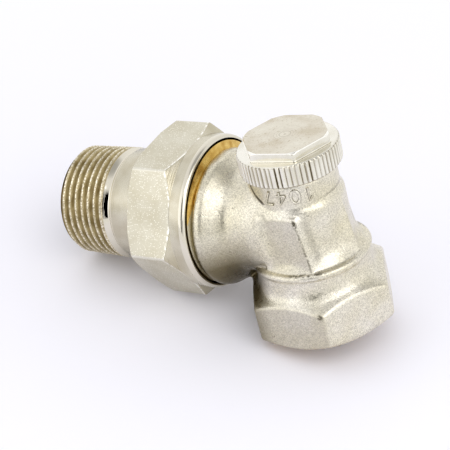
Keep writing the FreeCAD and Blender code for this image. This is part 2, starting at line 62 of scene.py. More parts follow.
BODY_LOW, BODY_HIGH = in_mm(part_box("valve_body"))
MOUNTS = {mount["name"]: mount for mount in frame["record"]["mounts"]}
OUTLET_HEIGHT = MOUNTS["tail_thread"]["pos_m"][2] / MM
COLLAR_END, SPIGOT_END, NECK_TOP = BODY_HIGH[0] - 10.0, BODY_HIGH[0], BODY_HIGH[2]
FORGING = {
    "Askew": math.radians(1.3), "Askew Height": 36.0,
    "Hexagon Flat": 15.3, "Hexagon Height": 10.6, "Hexagon Corner": 0.9, "Hexagon Edge": 0.8,
    "End Chamfer": 15.3, "Hexagon Fillet": 3.0,
    "Band Radius": 13.3, "Band Top": 16.5, "Band Rounding": 0.9, "Band Fillet": 1.3,
    "Bead Ring": 12.75, "Bead Height": 16.9, "Bead Radius": 0.9, "Bead Fillet": 0.35,
    "Barrel Radius": 10.4, "Barrel Foot": 20.4, "Shoulder": 32.2, "Shoulder Edge": 1.5,
    "Neck Radius": 9.75, "Neck Top": NECK_TOP - 3.2, "Neck Edge": 0.2, "Neck Fillet": 1.2,
    "Outlet Axis": OUTLET_HEIGHT, "Outlet Radius": 12.35, "Outlet Start": 3.4, "Outlet Edge": 2.4,
    "Outlet Fillet": 2.0, "Flare Start": 13.4, "Flare End": 17.6, "Flare Rounding": 1.8,
    "Collar Radius": 15.75, "Collar End": COLLAR_END, "Collar Edge": 0.7, "Collar Lip": 0.3,
    "Collar Side": 0.45, "Collar Drop": 0.45,
    "Pad Width": 10.95, "Pad Front": 5.0, "Pad Back": 4.3, "Pad Slant": 0.13, "Pad Edge": 0.7,
    "Pad Side": 0.2, "Pad Low": 16.0, "Pad High": 31.4, "Pad Crown": 2.0, "Pad Fillet": 0.5,
}
# Cell of the block that the forging's skin is drawn through, the room round it, and the filling
# of a cell that the skin runs through
VOXEL, ROOM, HALF_FULL = 0.34, 1.4, 0.5


def linear(hex_code):
    """Linear colour of an sRGB hex value."""
    shares = [int(hex_code[i:i + 2], 16) / 255 for i in (1, 3, 5)]
    return [s / 12.92 if s <= 0.04045 else ((s + 0.055) / 1.055) ** 2.4 for s in shares] + [1.0]


def plug(made, sockets):
    """Sets a node's sockets, by name or place, to numbers, or links them to other nodes."""
    for key, value in sockets.items():
        if isinstance(value, bpy.types.Node):
            value = next(output for output in value.outputs if output.enabled)
        if isinstance(value, bpy.types.NodeSocket):
            made.id_data.links.new(value, made.inputs[key])
        else:
            made.inputs[key].default_value = value


def add(tree, kind, *values, sockets=None, stops=(), **settings):
    """Adds a node, or a Math node where kind is an operation. Values go to its open sockets in
    turn and sockets to named ones; stops are the places and colours of a ramp."""
    if kind.isupper():
        kind, settings = "ShaderNodeMath", {"operation": kind, **settings}
    made = tree.nodes.new(kind)
    for name, value in settings.items():
        setattr(made, name, value)
    for i, (place, colour) in enumerate(stops):
        made.color_ramp.elements[i].position = place
        made.color_ramp.elements[i].color = linear(colour)
    open_sockets = [i for i, socket in enumerate(made.inputs) if socket.enabled]
    plug(made, {**dict(zip(open_sockets, values)), **(sockets or {})})
    return made


def new_tree(name, sizes):
    """Geometry Nodes tree with a named number input for each size, what adds a node to it, and
    its input sockets."""
    tree = bpy.data.node_groups.new(name, "GeometryNodeTree")
    for label, way, kind in (("Geometry", "INPUT", "Geometry"), ("Geometry", "OUTPUT", "Geometry"),
                             ("Material", "INPUT", "Material"),
                             *((size, "INPUT", "Float") for size in sizes)):
        tree.interface.new_socket(label, in_out=way, socket_type="NodeSocket" + kind)
    node = functools.partial(add, tree)
    return tree, node, node("NodeGroupInput").outputs


def end_tree(node, size, made):
    """Ends a tree: what it made becomes plain geometry with the tree's material."""
    made = node("GeometryNodeRealizeInstances", made)
    made = node("GeometryNodeSetMaterial", made, sockets={"Material": size["Material"]})
    node("NodeGroupOutput", made)


def shaped(tree, mesh, material, sizes):
    """The mesh that a tree makes from another one, in millimetres."""
    holder = bpy.data.objects.new("holder", mesh)
    bpy.context.scene.collection.objects.link(holder)
    modifier = holder.modifiers.new("shape", "NODES")
    modifier.node_group = tree
    for item in tree.interface.items_tree:
        if item.in_out == "INPUT" and item.name in sizes:
            modifier[item.identifier] = float(sizes[item.name])
        elif item.in_out == "INPUT" and item.name == "Material":
            modifier[item.identifier] = material
    graph = bpy.context.evaluated_depsgraph_get()
    made = bpy.data.meshes.new_from_object(holder.evaluated_get(graph), depsgraph=graph)
    bpy.data.objects.remove(holder)
    return made


VECTOR = "ShaderNodeVectorMath"
POINT = "ShaderNodeCombineXYZ"
SPLIT = "ShaderNodeSeparateXYZ"
forging, node, size = new_tree("forging", FORGING)
machined = node("GeometryNodeInputPosition")
m_x, m_y, m_z = node(SPLIT, machined).outputs
m_r = node(VECTOR, node(POINT, m_x, m_y), operation="LENGTH")

# The forging was clamped a little askew when it was machined, so its own frame is turned about Y
pivot = node(POINT, 0.0, 0.0, size["Askew Height"])
place = node("ShaderNodeVectorRotate", machined, rotation_type="Y_AXIS", invert=True,
             sockets={"Center": pivot, "Angle": size["Askew"]})
x, y, z = node(SPLIT, place).outputs
upright_r = node(VECTOR, node(POINT, x, y), operation="LENGTH")
outlet_z = node("SUBTRACT", z, size["Outlet Axis"])
outlet_r = node(VECTOR, node(POINT, y, outlet_z), operation="LENGTH")

# Hexagon: three pairs of flats, cut by 30 degree cones at the top and at the machined end
COS_30, SIN_30, TAN_30 = [wave(math.radians(30)) for wave in (math.cos, math.sin, math.tan)]
hexagon = None
for degrees in (30, 90, 150):
    across = (math.cos(math.radians(degrees)), math.sin(math.radians(degrees)), 0)
    along = node(VECTOR, place, across, operation="DOT_PRODUCT")
    flat = node("SUBTRACT", node("ABSOLUTE", along), size["Hexagon Flat"])
    hexagon = flat if hexagon is None else node(
        "SMOOTH_MAX", hexagon, flat, size["Hexagon Corner"])
rise = node("MULTIPLY", node("SUBTRACT", z, size["Hexagon Height"]), COS_30)
sink = node("MULTIPLY", m_z, -COS_30)
for radius, edge, height in ((upright_r, "Hexagon Flat", rise), (m_r, "End Chamfer", sink)):
    cone = node("MULTIPLY_ADD", node("SUBTRACT", radius, size[edge]), SIN_30, height)
    hexagon = node("SMOOTH_MAX", hexagon, cone, size["Hexagon Edge"])

# Band with a sloping top and a bead, and the barrel and neck above it
outside = node("SUBTRACT", upright_r, size["Band Radius"])
above = node("SUBTRACT", z, size["Band Top"])
slope_run = node("SUBTRACT", size["Band Radius"], size["Barrel Radius"])
slope_rise = node("SUBTRACT", size["Barrel Foot"], size["Band Top"])
slope_length = node(VECTOR, node(POINT, slope_run, slope_rise), operation="LENGTH")
slope = node("MULTIPLY_ADD", outside, slope_rise, node("MULTIPLY", above, slope_run))
slope = node("DIVIDE", slope, slope_length)
band = node("SMOOTH_MAX", outside, slope, size["Band Rounding"])
bead = node(POINT, node("SUBTRACT", upright_r, size["Bead Ring"]),
            node("SUBTRACT", z, size["Bead Height"]))
bead = node("SUBTRACT", node(VECTOR, bead, operation="LENGTH"), size["Bead Radius"])
upright = None
for radius, height, top, edge in (("Barrel Radius", z, "Shoulder", "Shoulder Edge"),
                                  ("Neck Radius", m_z, "Neck Top", "Neck Edge")):
    side = node("SUBTRACT", upright_r, size[radius])
    drum = node("SMOOTH_MAX", side, node("SUBTRACT", height, size[top]), size[edge])
    upright = drum if upright is None else node(
        "SMOOTH_MIN", upright, drum, size["Neck Fillet"])

# Outlet: a neck that opens into a flare and a collar. The collar lies a little off the axis.
side = node("SUBTRACT", outlet_r, size["Outlet Radius"])
end = node("SUBTRACT", size["Outlet Start"], x)
outlet = node("SMOOTH_MAX", side, end, size["Outlet Edge"])
ahead = node("SUBTRACT", size["Flare Start"], x)
flare_run = node("SUBTRACT", size["Flare End"], size["Flare Start"])
flare_rise = node("SUBTRACT", size["Collar Radius"], size["Outlet Radius"])
flare_length = node(VECTOR, node(POINT, flare_run, flare_rise), operation="LENGTH")
flare = node("MULTIPLY_ADD", ahead, flare_rise, node("MULTIPLY", side, flare_run))
flare = node("DIVIDE", flare, flare_length)
collar = node(POINT, node("SUBTRACT", y, size["Collar Side"]),
              node("ADD", outlet_z, size["Collar Drop"]))
collar = node("SUBTRACT", node(VECTOR, collar, operation="LENGTH"), size["Collar Radius"])
flare = node("SMOOTH_MAX", flare, collar, size["Collar Edge"])
outlet = node("SMOOTH_MIN", outlet, flare, size["Flare Rounding"])
end = node("SUBTRACT", m_x, size["Collar End"])
outlet = node("SMOOTH_MAX", outlet, end, size["Collar Lip"])

# Pads: flat, with a soft top, and a slanted back edge from which a 60 degree wall falls to the
# barrel
pads = node("SUBTRACT", node("ABSOLUTE", y), size["Pad Width"])
hang = node("SUBTRACT", size["Pad High"], z)
edge = node("MULTIPLY_ADD", hang, size["Pad Slant"], size["Pad Back"])
back = node("MULTIPLY", node("ADD", x, edge), -COS_30)
back = node("MULTIPLY_ADD", pads, SIN_30, back)
pads = node("SMOOTH_MAX", pads, back, size["Pad Edge"])
for end, softness in ((node("SUBTRACT", x, size["Pad Front"]), "Pad Side"),
                      (node("SUBTRACT", size["Pad Low"], z), "Pad Side"),
                      (node("SUBTRACT", z, size["Pad High"]), "Pad Crown")):
    pads = node("SMOOTH_MAX", pads, end, size[softness])

# The whole forging, run together with the fillets that its die has
whole = upright
for form, fillet in ((pads, "Pad Fillet"), (outlet, "Outlet Fillet"), (band, "Band Fillet"),
                     (bead, "Bead Fillet"), (hexagon, "Hexagon Fillet")):
    whole = node("SMOOTH_MIN", whole, form, size[fillet])
density = node("MULTIPLY_ADD", whole, -HALF_FULL, HALF_FULL, use_clamp=True)
flat = FORGING["Hexagon Flat"]
lowest = [BODY_LOW[0] - ROOM, -flat - ROOM, -ROOM]
highest = [COLLAR_END + ROOM, flat + ROOM, FORGING["Neck Top"] + ROOM]
counts = [round((high - low) / VOXEL) for low, high in zip(lowest, highest)]
block = node("GeometryNodeVolumeCube", density, 0.0, lowest, highest, *counts)
skin = node("GeometryNodeVolumeToMesh", block, resolution_mode="VOXEL_SIZE",
            sockets={"Voxel Size": VOXEL, "Threshold": HALF_FULL, "Adaptivity": 0.0})
end_tree(node, size, skin)

# A range node takes a value, the two ends that it comes from and the two that it goes to
RANGE = "ShaderNodeMapRange"
NOISE = "ShaderNodeTexNoise"
CELLS = "ShaderNodeTexVoronoi"
RAMP = "ShaderNodeValToRGB"
MIX = "ShaderNodeMix"
BUMP = "ShaderNodeBump"


def new_material(name, metallic=1.0):
    """A material, what adds a node to it, its shader and its Object coordinates."""
    material = bpy.data.materials.new(name)
    material.use_nodes = True
    shader = material.node_tree.nodes["Principled BSDF"]
    shader.inputs["Metallic"].default_value = metallic
    node = functools.partial(add, material.node_tree)
    return material, node, shader, node("ShaderNodeTexCoord").outputs["Object"]


def within(node, share, limits):
    """A share that fades at limits in millimetres: a place, where none is left and where all is."""
    for place, none, full in limits:
        share = node("MULTIPLY", share, node(RANGE, place, none * MM, full * MM))
    return share


# Nickel over grit-blasted brass: a warm grey metal with a coarse painted sparkle, cells of its
# colour made lighter or darker for the glints of grit dents that each tip the surface their own
# way; yellower in patches, and dark in creases, with dust and painted shade.
blasted_nickel, node, metal, coords = new_material("grit_blasted_nickel_plated_brass")
grit = node(NOISE, coords, sockets={"Scale": 1 / (0.3 * MM), "Detail": 1.0, "Roughness": 0.6})
dents = node(NOISE, coords, sockets={"Scale": 1 / (1.3 * MM), "Detail": 2.0})
patches = node(NOISE, coords, sockets={"Scale": 1 / (9 * MM), "Detail": 2.0})
crumbs = node(NOISE, coords, sockets={"Scale": 1 / (0.7 * MM), "Detail": 2.0})
dimples = node(CELLS, coords, sockets={"Scale": 1 / (0.2 * MM)})
pits = node(CELLS, coords, sockets={"Scale": 1 / (1.5 * MM)})
tone = node(RAMP, patches, stops=[(0.3, "#d3ccb5"), (0.7, "#dfdace")])
# Painted sparkle: each small cell of the colour is made lighter or darker, standing in for glints
glint = node("ShaderNodeSeparateColor", dimples.outputs["Color"])
painted_sparkle = node(RANGE, glint, 0.0, 1.0, 0.77, 1.27)
shade = node(MIX, 1.0, tone, painted_sparkle, data_type="RGBA", blend_type="MULTIPLY")

# Dark spots in some of the pits, mostly on the outlet's side: partly dust and partly painted shade
x, y, z = node(SPLIT, coords).outputs
side = node("ABSOLUTE", y)
away = node(VECTOR, node(POINT, x, y), operation="LENGTH")
some = node("ShaderNodeSeparateColor", pits.outputs["Color"])
outer = node(RANGE, x, -2 * MM, 4 * MM, 0.25, 1.0)
dust_and_painted_shade = node(RANGE, pits.outputs["Distance"], 0.14, 0.06, 0.0, 0.7)
for share in (node("GREATER_THAN", some, 0.45), outer):
    dust_and_painted_shade = node("MULTIPLY", dust_and_painted_shade, share)

# Dust and painted shade along a fold that the die left on the back edge of each pad, and in the
# creases. A row gives the most of it, how far it crumbles, its grain and its limits.
slant = FORGING["Pad Slant"] + math.tan(FORGING["Askew"])
behind = node("MULTIPLY_ADD", z, -slant, x)
behind = node("ADD", behind, (FORGING["Pad Back"] + FORGING["Pad High"] * slant) * MM)
behind = node("MULTIPLY_ADD", node("ADD", dents, -0.5), 0.8 * MM, behind)
fold = node("ABSOLUTE", behind)
hexagon_corner = [length * MM for length in (-8.75, 15.15, 9.4)]
spot = node(VECTOR, coords, hexagon_corner, operation="DISTANCE")
crease = FORGING["Bead Height"] + 0.95
neck_r = FORGING["Neck Radius"]
for amount, crumbling, grain, limits in (
        # a dash on the shoulder, painted shade in the valley beside the fold, and one corner of the
        # hexagon
        (0.7, 0.45, crumbs, [(z, 30.75, 30.9), (z, 31.25, 31.1), (x, -6.0, -6.4),
                             (x, -8.4, -7.9), (side, 5.5, 6.0)]),
        (0.32, 0.0, crumbs, [(behind, -2.2, -1.5), (behind, -0.6, -1.3), (z, 18.5, 21.0),
                             (z, 31.0, 29.5), (side, 6.5, 7.5)]),
        (0.8, 0.42, crumbs, [(spot, 0.9, 0.35)]),
        # the fold, which is open at its top and nearly closed below
        (0.95, 0.42, crumbs, [(fold, 0.5, 0.2), (z, 28.2, 29.2), (z, 31.0, 30.5),
                              (side, 9.5, 10.2)]),
        (0.6, 0.5, crumbs, [(fold, 0.3, 0.1), (z, 18.5, 19.5), (z, 29.4, 28.6),
                            (side, 9.5, 10.2)]),
        # the crease above the bead, the hexagon's crown, and the flanks of the number
        (0.8, 0.5, crumbs, [(z, crease - 0.35, crease - 0.1), (z, crease + 0.3, crease),
                            (x, -1.0, -2.5), (side, 9.5, 10.5)]),
        (0.5, 0.58, grit, [(z, 10.8, 12.4), (z, 14.4, 12.8), (x, -3.0, -6.0), (side, 6.5, 10.0)]),
        (0.95, 0.3, crumbs, [(away, neck_r + 0.04, neck_r + 0.07), (z, 33.5, 33.7),
                             (away, neck_r + 0.26, neck_r + 0.16), (z, 38.0, 37.8)])):
    # Each row lays a darker colour into a crease or recess: partly dust, partly painted shade
    share = node(RANGE, grain, crumbling - 0.06, crumbling + 0.06, 0.0, amount)
    dust_and_painted_shade = node("MAXIMUM", dust_and_painted_shade, within(node, share, limits))

# A brown film with painted shade under the outlet, painted shade on the flats of the hexagon and
# pads, and the dust and painted shade over them
# Brown stain with painted shade: darker towards the bottom of the outlet
film_and_painted_shade = within(node, 0.95, [(z, 27, 18), (x, 4, 9)])
# Painted shade: the side flats of the hexagon and the pads are made darker
hexagon_flats_painted_shade = node("MULTIPLY", node("LESS_THAN", x, 9 * MM), 0.3)
hexagon_flats_painted_shade = within(node, hexagon_flats_painted_shade, [(side, 14.7, 15.1)])
pad_flats_painted_shade = within(node, 0.25, [(side, 10.6, 10.8), (z, 17.6, 18.4), (x, 3.4, 2.4)])
painted_shade_on_flats = node("MAXIMUM", hexagon_flats_painted_shade, pad_flats_painted_shade)
for share, colour in ((film_and_painted_shade, "#6e644a"), (painted_shade_on_flats, "#9a927c"), (dust_and_painted_shade, "#4d4636")):
    shade = node(MIX, share, shade, linear(colour), data_type="RGBA")
dull = node(RANGE, dents, 0.3, 0.7, 0.26, 0.34)
fine = node(BUMP, sockets={"Strength": 1.0, "Distance": 0.055 * MM, "Height": grit})
bump = node(BUMP, sockets={
    "Strength": 1.0, "Distance": 0.06 * MM, "Height": dents, "Normal": fine})
plug(metal, {"Base Color": shade, "Roughness": dull, "Normal": bump})

# Bare brass from the lathe: yellow and fairly bright, with a little tarnish and fine scratches.
bare_brass, node, metal, coords = new_material("machined_brass")
tarnish = node(NOISE, coords, sockets={"Scale": 1 / (4 * MM), "Detail": 3.0})
tone = node(RAMP, tarnish, stops=[(0.35, "#b98a3a"), (0.65, "#d3ad5c")])
scratch = node(NOISE, coords, sockets={"Scale": 1 / (0.3 * MM), "Detail": 2.0})
bump = node(BUMP, sockets={"Strength": 0.3, "Distance": 0.02 * MM, "Height": scratch})
plug(metal, {"Base Color": tone, "Roughness": 0.28, "Normal": bump})


def round_outlet(node, coords):
    """Place along the outlet's axis, height above it and distance from it."""
    centred = node(VECTOR, coords, (0, 0, OUTLET_HEIGHT * MM), operation="SUBTRACT")
    x, y, z = node(SPLIT, centred).outputs
    return x, z, node(VECTOR, node(POINT, y, z), operation="LENGTH")


# The ring behind the union thread was turned after plating on its high side only, so it is brass
# above and nickel below; the border runs slantwise over its cone.
part_plated, node, metal, coords = new_material("part_plated_brass")
along, height, away = round_outlet(node, coords)
border = node(RANGE, away, 14.6 * MM, 16.2 * MM, 0.62, 0.3)
above = node("SUBTRACT", node("DIVIDE", height, away), border)
above = node(RANGE, above, 0.0, 0.05)
tarnish = node(NOISE, coords, sockets={"Scale": 1 / (2.5 * MM), "Detail": 3.0})
gold = node(RAMP, tarnish, stops=[(0.35, "#bd9444"), (0.65, "#e8c878")])
tone = node(MIX, above, linear("#cfc7ae"), gold, data_type="RGBA")
grain = node(NOISE, coords, sockets={"Scale": 1 / (0.4 * MM), "Detail": 2.0})
bump = node(BUMP, sockets={"Strength": 0.6, "Distance": 0.06 * MM, "Height": grain})
plug(metal, {"Base Color": tone, "Roughness": 0.27, "Normal": bump})

# Brass inside the union: brown with dried cutting oil and darkened by painted shade, most of all
# deep in the joint.
oily_brass_and_painted_shade, node, metal, coords = new_material("oily_machined_brass_and_painted_shade")
# Painted shade: the brown darkens towards the deep end of the joint
depth = node(RANGE, node(SPLIT, coords), (SPIGOT_END - 9.0) * MM, (SPIGOT_END - 7.8) * MM)
tone = node(MIX, depth, linear("#8a6c38"), linear("#54421f"), data_type="RGBA")
smear = node(NOISE, coords, sockets={"Scale": 1 / (1.2 * MM), "Detail": 3.0})
dull = node(RANGE, smear, 0.3, 0.7, 0.3, 0.55)
plug(metal, {"Base Color": tone, "Roughness": dull})


def rounded(corners, steps=3):
    """Points of a profile (along, radius, rounding); a rounded corner becomes steps + 1 points."""
    points = []
    count = len(corners)
    for i, (along, radius, rounding) in enumerate(corners):
        here = Vector((along, radius))
        if rounding <= 0:
            points.append(here)
            continue
        before = Vector(corners[i - 1][:2]) - here
        after = Vector(corners[(i + 1) % count][:2]) - here
        reach = min(rounding, 0.45 * before.length, 0.45 * after.length)
        start = here + before.normalized() * reach
        stop = here + after.normalized() * reach
        for step in range(steps + 1):
            t = step / steps
            points.append(start * (1 - t) ** 2 + here * 2 * t * (1 - t) + stop * t ** 2)
    return points


def run(start, stop, rows):
    """Corners in even rows along a straight side, dense enough to carry a thread."""
    return [(start[0] + (stop[0] - start[0]) * k / rows,
             start[1] + (stop[1] - start[1]) * k / rows, 0) for k in range(rows + 1)]


def spun(name, profile, angles):
    """Closed mesh through a profile, or one for each angle (degrees), round the local Z axis."""
    columns = [profile(angle) if callable(profile) else profile for angle in angles]
    rows = len(columns[0])
    mesh = bpy.data.meshes.new(name)
    form = bmesh.new()
    for angle, column in zip(angles, columns):
        turn = math.radians(angle)
        for along, radius in column:
            form.verts.new((radius * math.cos(turn), radius * math.sin(turn), along))
    form.verts.ensure_lookup_table()
    for i in range(len(columns)):
        j = (i + 1) % len(columns)
        for k in range(rows):
            m = (k + 1) % rows
            form.faces.new([form.verts[n] for n in (
                i * rows + k, j * rows + k, j * rows + m, i * rows + m)])
    bmesh.ops.remove_doubles(form, verts=form.verts, dist=1e-5)
    bmesh.ops.dissolve_degenerate(form, edges=form.edges, dist=1e-5)
    bmesh.ops.recalc_face_normals(form, faces=form.faces)
    form.to_mesh(mesh)
    form.free()
    return mesh


def cutter(name, sizes, share_at):
    """Tree that moves the points of a turned surface, between two radii, towards its axis by a
    share of a depth."""
    tree, node, size = new_tree(name, ("Depth", "Inner", "Outer", *sizes))
    place = node("GeometryNodeInputPosition")
    x, y, z = node(SPLIT, place).outputs
    radius = node(VECTOR, node(POINT, x, y), operation="LENGTH")
    turns = node("DIVIDE", node("ARCTAN2", y, x), 2 * math.pi)
    cut = node("MULTIPLY", share_at(node, size, turns, z), size["Depth"])
    factor = node("DIVIDE", node("SUBTRACT", radius, cut), radius)
    moved = node(VECTOR, place, node(POINT, factor, factor, 1.0), operation="MULTIPLY")
    shell = node("MULTIPLY", node("GREATER_THAN", radius, size["Inner"]),
                 node("LESS_THAN", radius, size["Outer"]))
    end_tree(node, size, node("GeometryNodeSetPosition", size["Geometry"], sockets={
        "Selection": shell, "Position": moved}))
    return tree


def thread_groove(node, size, turns, z):
    """The rounded V of a pipe thread along a right-hand helix, which runs out at both ends."""
    phase = node("SUBTRACT", node("DIVIDE", z, size["Pitch"]), turns)
    wave = node("PINGPONG", node("MULTIPLY", phase, 2.0), 1.0)
    groove = node(RANGE, wave, 0.06, 0.94, interpolation_type="SMOOTHSTEP")
    groove = node("MULTIPLY", node("ADD", groove, wave), 0.5)
    for edge, way, length in (("Start", 1.0, "Run In"), ("Stop", -1.0, "Run Out")):
        inside = node("MULTIPLY", node("SUBTRACT", z, size[edge]), way)
        share = node("DIVIDE", inside, size[length], use_clamp=True)
        groove = node("MULTIPLY", groove, share)
    return groove


thread = cutter("thread", ("Pitch", "Start", "Stop", "Run In", "Run Out"), thread_groove)

# The spigot: a ring with a cone behind it, and the union thread
ROUND = [360 * k / 144 for k in range(144)]
ALONG_OUTLET = Matrix(((0, 0, 1, 0), (1, 0, 0, 0), (0, 1, 0, OUTLET_HEIGHT), (0, 0, 0, 1)))
UNION_PITCH, UNION_CREST, UNION_DEPTH, UNION_ROOT = 2.309, 16.55, 1.36, 15.3
RING_ROOT, RING_R = 14.4, 16.4
RING_START, RING_END = COLLAR_END + 0.85, COLLAR_END + 2.6
spigot_points = rounded([
    (COLLAR_END - 1, 0, 0), (COLLAR_END - 1, RING_ROOT, 0), (COLLAR_END, RING_ROOT, 0),
    *run((COLLAR_END + 0.05, RING_ROOT + 0.1), (RING_START, RING_R), 5), (RING_END, RING_R, 0),
    *run((RING_END + 0.3, UNION_CREST), (SPIGOT_END - 0.9, UNION_CREST), 44),
    *run((SPIGOT_END - 0.8, UNION_CREST - 0.1), (SPIGOT_END, UNION_CREST - 1.2), 6),
    (SPIGOT_END, 0, 0)])
spigot = shaped(thread, spun("spigot", spigot_points, ROUND), bare_brass, {
    "Pitch": UNION_PITCH, "Depth": UNION_DEPTH, "Start": RING_END + 0.1, "Stop": SPIGOT_END + 1,
    "Inner": UNION_ROOT, "Outer": UNION_CREST + 0.2, "Run In": 0.8, "Run Out": 0.5})
spigot.materials.append(oily_brass_and_painted_shade)
spigot.materials.append(part_plated)
for face in spigot.polygons:
    face.material_index = 1 if face.center.z > RING_START - 0.01 else 2
spigot.transform(ALONG_OUTLET)

# The neck's end: a relief, and the thread that the cap screws on
CAP_PITCH, CAP_CREST, CAP_DEPTH, RELIEF_R = 1.0, 9.75, 0.5, 9.1
neck_points = rounded([
    (NECK_TOP - 6, 0, 0), (NECK_TOP - 6, RELIEF_R, 0), (NECK_TOP - 3.0, RELIEF_R, 0),
    (NECK_TOP - 2.6, RELIEF_R + 0.1, 0),
    *run((NECK_TOP - 2.3, CAP_CREST), (NECK_TOP - 0.4, CAP_CREST), 30),
    (NECK_TOP, CAP_CREST - 0.5, 0), (NECK_TOP, 0, 0)])
neck_thread = shaped(thread, spun("neck", neck_points, ROUND), bare_brass, {
    "Pitch": CAP_PITCH, "Depth": CAP_DEPTH, "Start": NECK_TOP - 3, "Stop": NECK_TOP + 1,
    "Inner": CAP_CREST - 0.1, "Outer": CAP_CREST + 0.1, "Run In": 0.4, "Run Out": 0.5})


def joined(base, tool, operation):
    """The base mesh after a cut or a union; faces from the tool keep its material."""
    pieces = []
    for mesh in (base, tool):
        pieces.append(bpy.data.objects.new("cut", mesh))
        bpy.context.scene.collection.objects.link(pieces[-1])
    modifier = pieces[0].modifiers.new("cut", "BOOLEAN")
    modifier.operation = operation
    modifier.solver = "MANIFOLD"
    modifier.material_mode = "TRANSFER"
    modifier.object = pieces[1]
    graph = bpy.context.evaluated_depsgraph_get()
    made = bpy.data.meshes.new_from_object(pieces[0].evaluated_get(graph), depsgraph=graph)
    for piece in pieces:
        bpy.data.objects.remove(piece)
    return made


# A plain number stands proud of the neck, upside down, as it was sunk in the die
NUMBER = "1047"
FIGURE_WIDTH, FIGURE_HEIGHT, FIGURE_PITCH, FIGURE_STROKE = 2.1, 3.1, 3.1, 0.36
FIRST_FIGURE, FIGURE_FOOT = math.radians(144.0), 37.3
STROKES = {
    "0": [[(0.5 + 0.45 * math.sin(k * math.pi / 10), 0.5 - 0.5 * math.cos(k * math.pi / 10))
           for k in range(20)]],
    "1": [[(0.2, 0.75), (0.58, 1.0), (0.58, 0.0)]],
    "4": [[(0.68, 0.0), (0.68, 1.0), (0.05, 0.32)], [(0.05, 0.32), (0.98, 0.32)]],
    "7": [[(0.05, 1.0), (0.95, 1.0), (0.35, 0.0)]],
}
figures = None
for place, figure in enumerate(NUMBER):
    for stroke in STROKES[figure]:
        line = bpy.data.curves.new("figure", "CURVE")
        line.dimensions = "3D"
        line.bevel_depth = FIGURE_STROKE
        line.bevel_resolution = 2
        line.use_fill_caps = True
        spline = line.splines.new("POLY")
        spline.points.add(len(stroke) - 1)
        spline.use_cyclic_u = figure == "0"
        for point, (right, rise) in zip(spline.points, stroke):
            turn = FIRST_FIGURE - (place * FIGURE_PITCH + right * FIGURE_WIDTH) / neck_r
            point.co = (neck_r * math.cos(turn), neck_r * math.sin(turn),
                        FIGURE_FOOT - rise * FIGURE_HEIGHT, 1)
        holder = bpy.data.objects.new("figure", line)
        stamp = bpy.data.meshes.new_from_object(holder)
        bpy.data.objects.remove(holder)
        form = bmesh.new()
        form.from_mesh(stamp)
        bmesh.ops.remove_doubles(form, verts=form.verts, dist=1e-4)
        bmesh.ops.recalc_face_normals(form, faces=form.faces)
        form.to_mesh(stamp)
        form.free()
        stamp.materials.clear()
        stamp.materials.append(blasted_nickel)
        figures = stamp if figures is None else joined(figures, stamp, "UNION")

# The upright bore: faced ends, the inlet's thread, the seat with its lip, and the bonnet's fit
PIPE_PITCH, PIPE_DEPTH = 1.814, 1.16
INLET_MAJOR = MOUNTS["inlet_thread"]["dims"]["r_mm"] + PIPE_DEPTH
INLET_END, SEAT_TOP, CHAMBER_LOW, CHAMBER_TOP = 11, 18, 16.6, 29
SEAT_R, SEAT_LIP_R, CHAMBER_R, BONNET_R, RIM_R = 5.6, 6.7, 8, 7.73, 8.38
FACING_R, FACING = 26.0, 4
bore_points = rounded([
    (-FACING, 0, 0), (-FACING, FACING_R, 0), (0, FACING_R, 0), (0, INLET_MAJOR + 0.35, 0),
    (0.5, INLET_MAJOR, 0), *run((0.6, INLET_MAJOR), (INLET_END - 0.6, INLET_MAJOR), 88),
    (INLET_END, INLET_MAJOR - 0.6, 0), (INLET_END, SEAT_R, 0),
    (SEAT_TOP, SEAT_R, 0.2), (SEAT_TOP, SEAT_LIP_R, 0.2), (CHAMBER_LOW, SEAT_LIP_R, 0),
    (CHAMBER_LOW, CHAMBER_R, 0.4), (CHAMBER_TOP, CHAMBER_R, 0), (CHAMBER_TOP, BONNET_R, 0),
    (NECK_TOP - 1.2, BONNET_R, 0), (NECK_TOP - 1.2, RIM_R, 0), (NECK_TOP - 0.2, RIM_R, 0),
    (NECK_TOP, RIM_R + 0.22, 0), (NECK_TOP, FACING_R, 0), (NECK_TOP + FACING, FACING_R, 0),
    (NECK_TOP + FACING, 0, 0)])
bore = shaped(thread, spun("bore", bore_points, ROUND), bare_brass, {
    "Pitch": PIPE_PITCH, "Depth": PIPE_DEPTH, "Start": 0.3, "Stop": INLET_END + 0.4,
    "Inner": INLET_MAJOR - 0.1, "Outer": INLET_MAJOR + 0.1, "Run In": 0.8, "Run Out": 1.2})

# The outlet's bore, which opens in the conical seat of the union
OUTLET_BORE_R, CONE_DEPTH, CONE_ROOT, CONE_MOUTH = 7.6, 5.4, 9.4, 13.3
outlet_points = rounded([
    (0, 0, 0), (0, OUTLET_BORE_R, 0), (SPIGOT_END - CONE_DEPTH, OUTLET_BORE_R, 0.2),
    (SPIGOT_END - CONE_DEPTH, CONE_ROOT, 0), (SPIGOT_END, CONE_MOUTH, 0.2),
    (SPIGOT_END + 2, CONE_MOUTH, 0), (SPIGOT_END + 2, 0, 0)])
outlet_bore = spun("outlet_bore", outlet_points, ROUND)
outlet_bore.materials.append(bare_brass)
outlet_bore.transform(ALONG_OUTLET)


def finish(name, mesh, body, slot, *nodes, sharp=40):
    """Puts a finished mesh, in millimetres, on its body in place of its CAD nodes."""
    mesh.transform(Matrix.Scale(MM, 4))
    mesh.shade_smooth()
    mesh.set_sharp_from_angle(angle=math.radians(sharp))
    piece = bpy.data.objects.new(name, mesh)
    bpy.context.scene.collection.objects.link(piece)
    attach(piece, body)
    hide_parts(*nodes)


